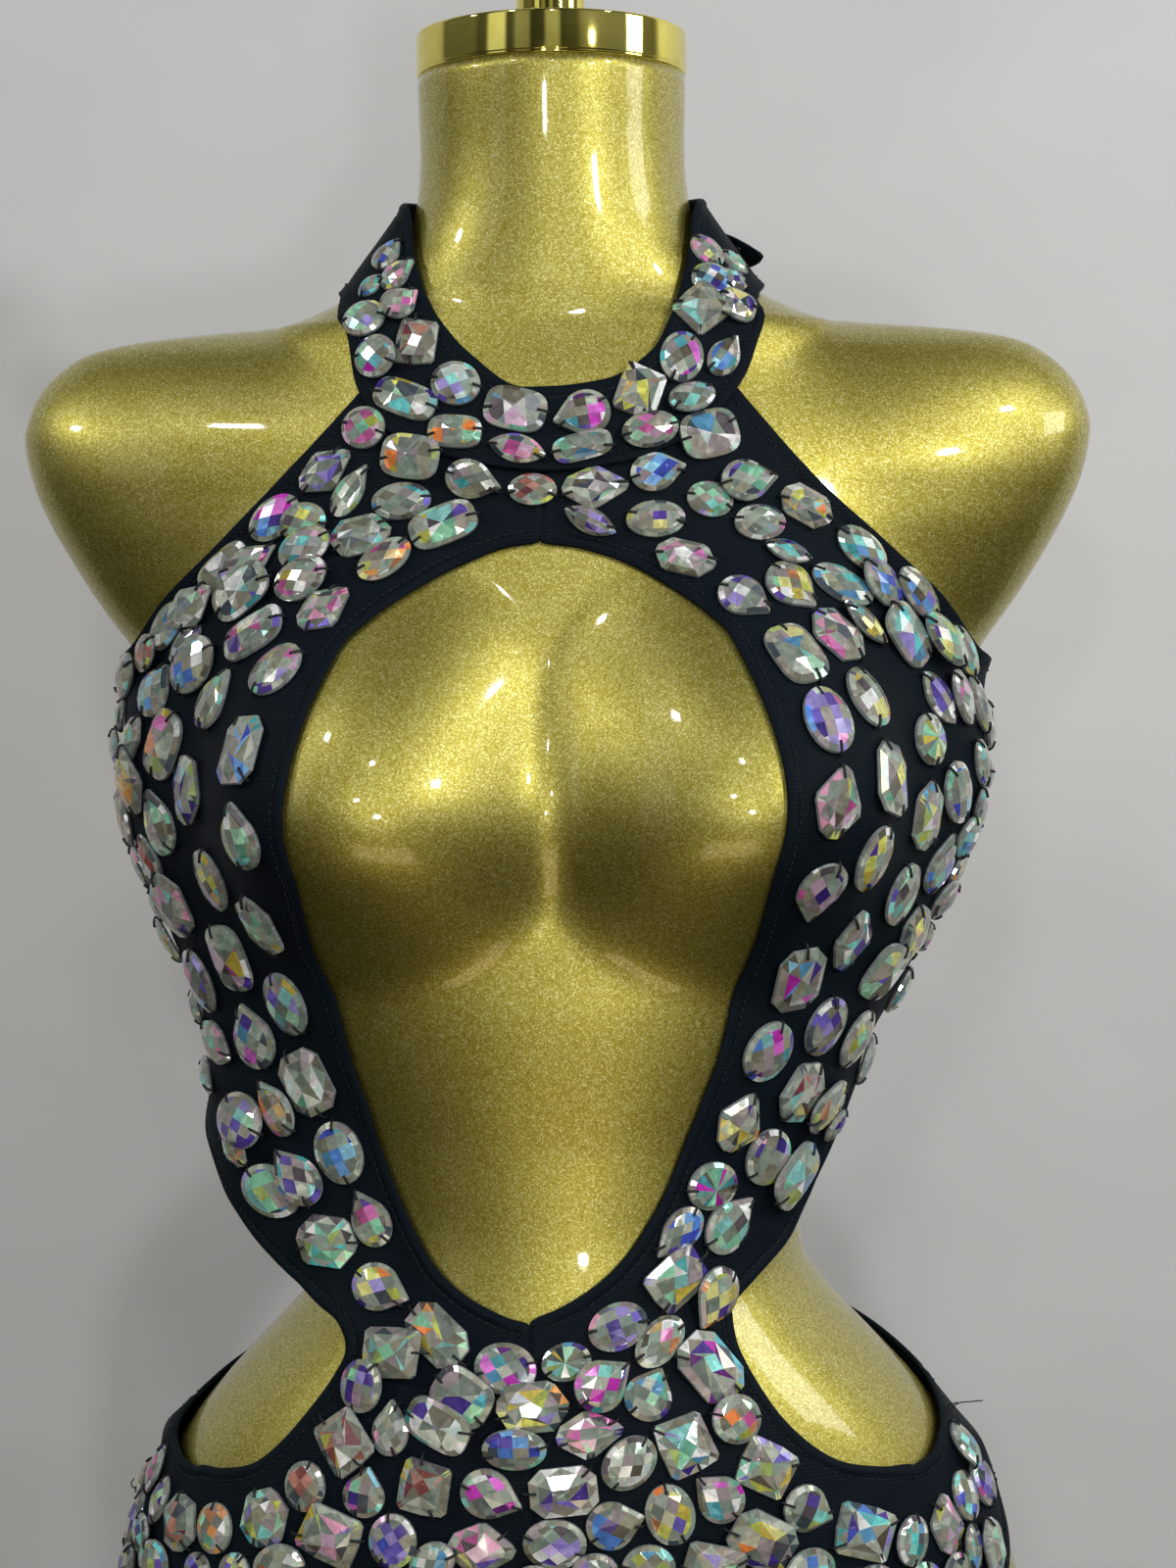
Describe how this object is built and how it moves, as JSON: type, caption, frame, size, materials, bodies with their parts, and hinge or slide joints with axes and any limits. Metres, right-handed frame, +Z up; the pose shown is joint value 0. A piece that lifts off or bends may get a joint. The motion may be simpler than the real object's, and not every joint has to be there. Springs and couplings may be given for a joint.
{
  "type": "stage bodysuit on a limbless dress form",
  "caption": "Halter stage bodysuit in dark stretch knit with keyhole front, side cutouts and high-cut leg, worn by a limbless standing dress form with capped neck.",
  "frame": {"origin": "centre of the bounding box on the floor the form stands on", "axes": "+Z up, -Y the front of the garment, +X the viewer's right"},
  "size_m": [0.3978, 0.2366, 0.8],
  "materials": {
    "flake_paint": "gold metal flake under gloss lacquer",
    "polished_gold": "polished",
    "knit": "fine matt stretch knit"
  },
  "bodies": {
    "root": {"form_body": "flake_paint", "neck_cap": "polished_gold", "neck_post": "polished_gold", "front_left": "knit", "front_right": "knit", "back_band": "knit", "back_lower": "knit", "gusset": "knit", "collar": "knit", "neck_tab": "knit"}
  },
  "joints": []
}
